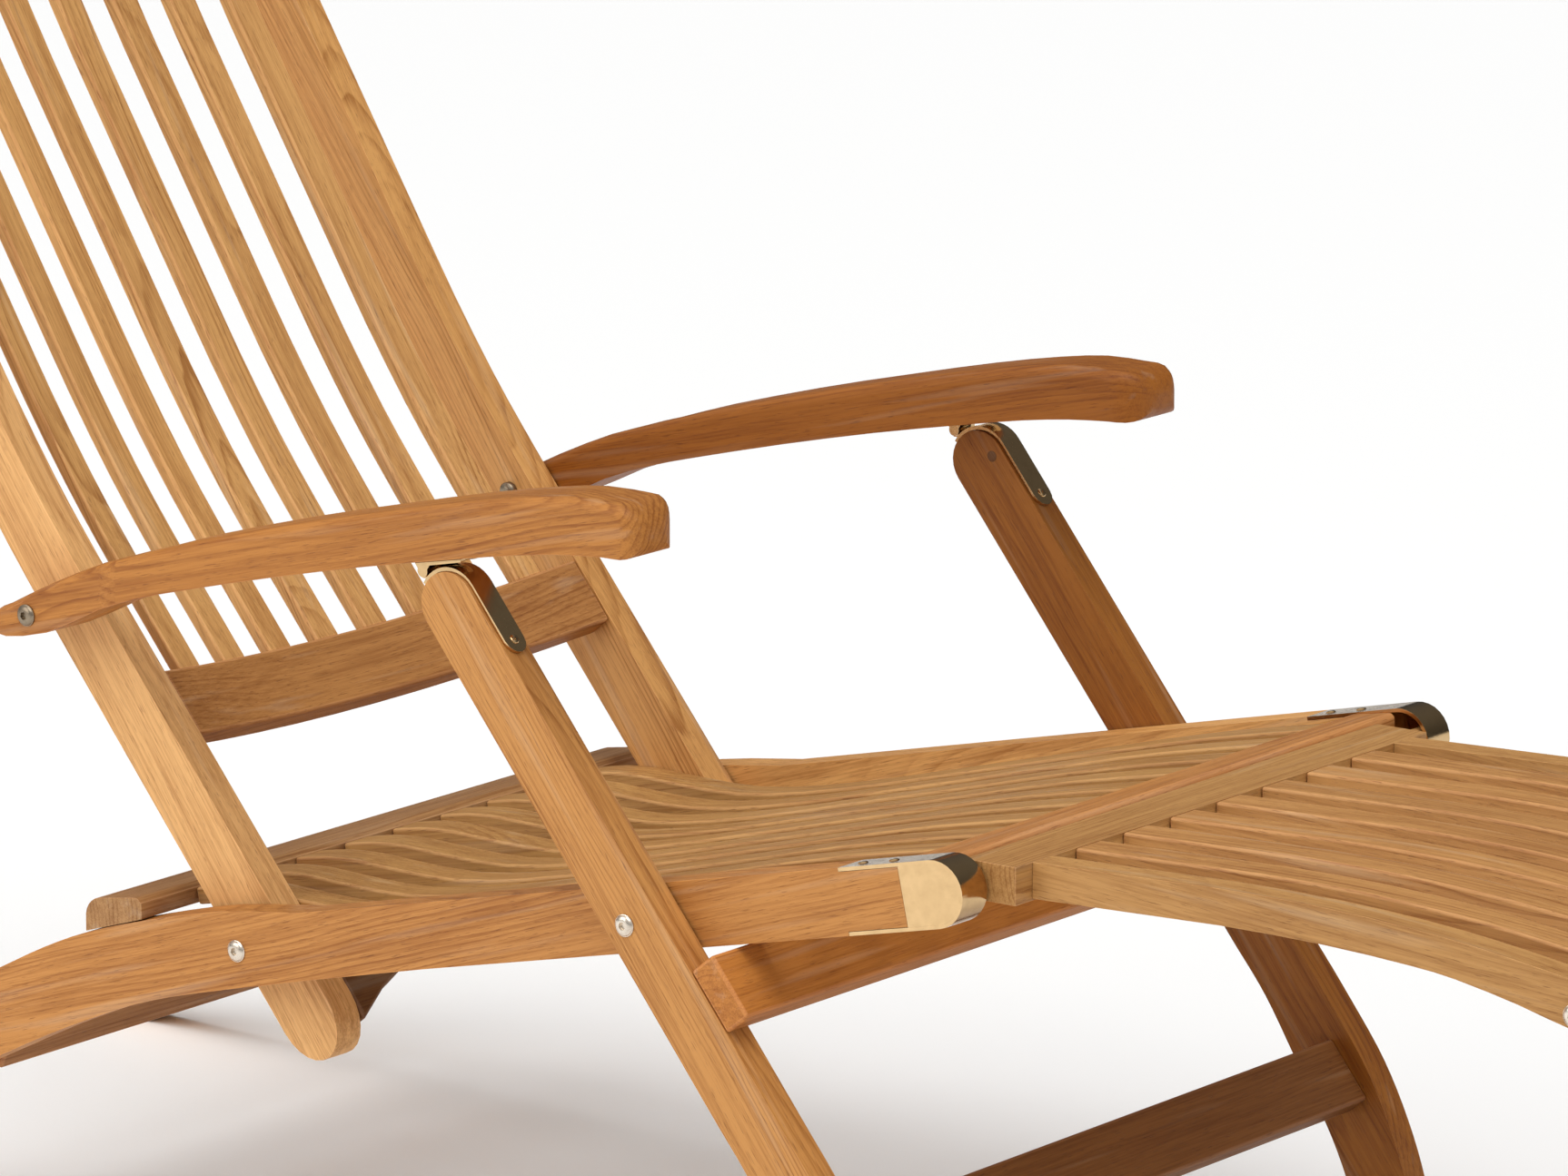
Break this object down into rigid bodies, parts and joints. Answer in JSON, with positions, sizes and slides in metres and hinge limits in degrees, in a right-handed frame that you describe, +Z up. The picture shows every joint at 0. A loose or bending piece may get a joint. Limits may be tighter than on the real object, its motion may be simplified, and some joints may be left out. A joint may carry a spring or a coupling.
{
  "type": "folding deck chair",
  "caption": "Folding slatted wooden deck chair with curved arms, a reclined back, front legs that fold with the back, and a hinged footrest on its own legs.",
  "frame": {"origin": "on the ground, under the middle of the chair's length and width", "axes": "+X forward towards the sitter's feet, +Y to the sitter's left, +Z up; the chair is open for use"},
  "size_m": [1.7, 0.606, 0.9249],
  "materials": {
    "teak": "oiled straight-grained teak, satin",
    "teak_shaded": "darker oiled teak, satin",
    "brass": "polished brass",
    "steel": "stainless bolt heads"
  },
  "bodies": {
    "seat_frame": {"left_side_rail": "teak", "right_side_rail": "teak", "left_hinge_socket": "brass", "right_hinge_socket": "brass", "left_back_bolt": "steel", "right_back_bolt": "steel", "left_leg_bolt": "steel", "right_leg_bolt": "steel", "seat_rear_rail": "teak", "seat_front_rail": "teak", "rear_leg_stretcher": "teak", "seat_slat_1": "teak", "seat_slat_2": "teak", "seat_slat_3": "teak", "seat_slat_4": "teak", "seat_slat_5": "teak", "seat_slat_6": "teak", "seat_slat_7": "teak", "seat_slat_8": "teak", "seat_slat_9": "teak"},
    "backrest": {"left_stile": "teak", "right_stile": "teak", "left_arm_bolt": "steel", "right_arm_bolt": "steel", "back_bottom_rail": "teak", "back_top_rail": "teak", "back_stop_rail": "teak", "back_slat_1": "teak", "back_slat_2": "teak", "back_slat_3": "teak", "back_slat_4": "teak", "back_slat_5": "teak", "back_slat_6": "teak", "back_slat_7": "teak", "back_slat_8": "teak"},
    "left_arm": {"left_arm": "teak", "left_arm_hinge": "brass"},
    "right_arm": {"right_arm": "teak", "right_arm_hinge": "brass"},
    "front_legs": {"left_front_leg": "teak", "right_front_leg": "teak", "left_leg_strap": "brass", "right_leg_strap": "brass", "upper_stretcher": "teak_shaded", "lower_stretcher": "teak_shaded"},
    "footrest": {"footrest_left_rail": "teak", "footrest_right_rail": "teak", "footrest_rear_rail": "teak", "footrest_end_rail": "teak", "footrest_slat_1": "teak", "footrest_slat_2": "teak", "footrest_slat_3": "teak", "footrest_slat_4": "teak", "footrest_slat_5": "teak", "footrest_slat_6": "teak", "footrest_slat_7": "teak"},
    "footrest_legs": {"footrest_left_leg": "teak", "footrest_right_leg": "teak", "footrest_leg_stretcher": "teak"}
  },
  "joints": [
    {"name": "backrest_fold", "type": "hinge", "parent": "seat_frame", "child": "backrest", "pos_m": [-0.25, 0, 0.25], "axis": [0, 1, 0], "range_deg": [0, 92]},
    {"name": "front_legs_fold", "type": "hinge", "parent": "seat_frame", "child": "front_legs", "pos_m": [0.099, 0, 0.3275], "axis": [0, 1, 0], "range_deg": [0, 92]},
    {"name": "left_arm_fold", "type": "hinge", "parent": "backrest", "child": "left_arm", "pos_m": [-0.417, 0.27, 0.459], "axis": [0, 1, 0], "range_deg": [-92, 0]},
    {"name": "right_arm_fold", "type": "hinge", "parent": "backrest", "child": "right_arm", "pos_m": [-0.417, -0.27, 0.459], "axis": [0, 1, 0], "range_deg": [-92, 0]},
    {"name": "footrest_fold", "type": "hinge", "parent": "seat_frame", "child": "footrest", "pos_m": [0.337, 0, 0.38], "axis": [0, 1, 0], "range_deg": [0, 70]},
    {"name": "footrest_legs_fold", "type": "hinge", "parent": "footrest", "child": "footrest_legs", "pos_m": [0.77, 0, 0.362], "axis": [0, 1, 0], "range_deg": [0, 85]}
  ],
  "couplings": [
    {"joint": "front_legs_fold", "follows": "backrest_fold", "ratio": 1},
    {"joint": "left_arm_fold", "follows": "backrest_fold", "ratio": -1},
    {"joint": "right_arm_fold", "follows": "backrest_fold", "ratio": -1}
  ]
}
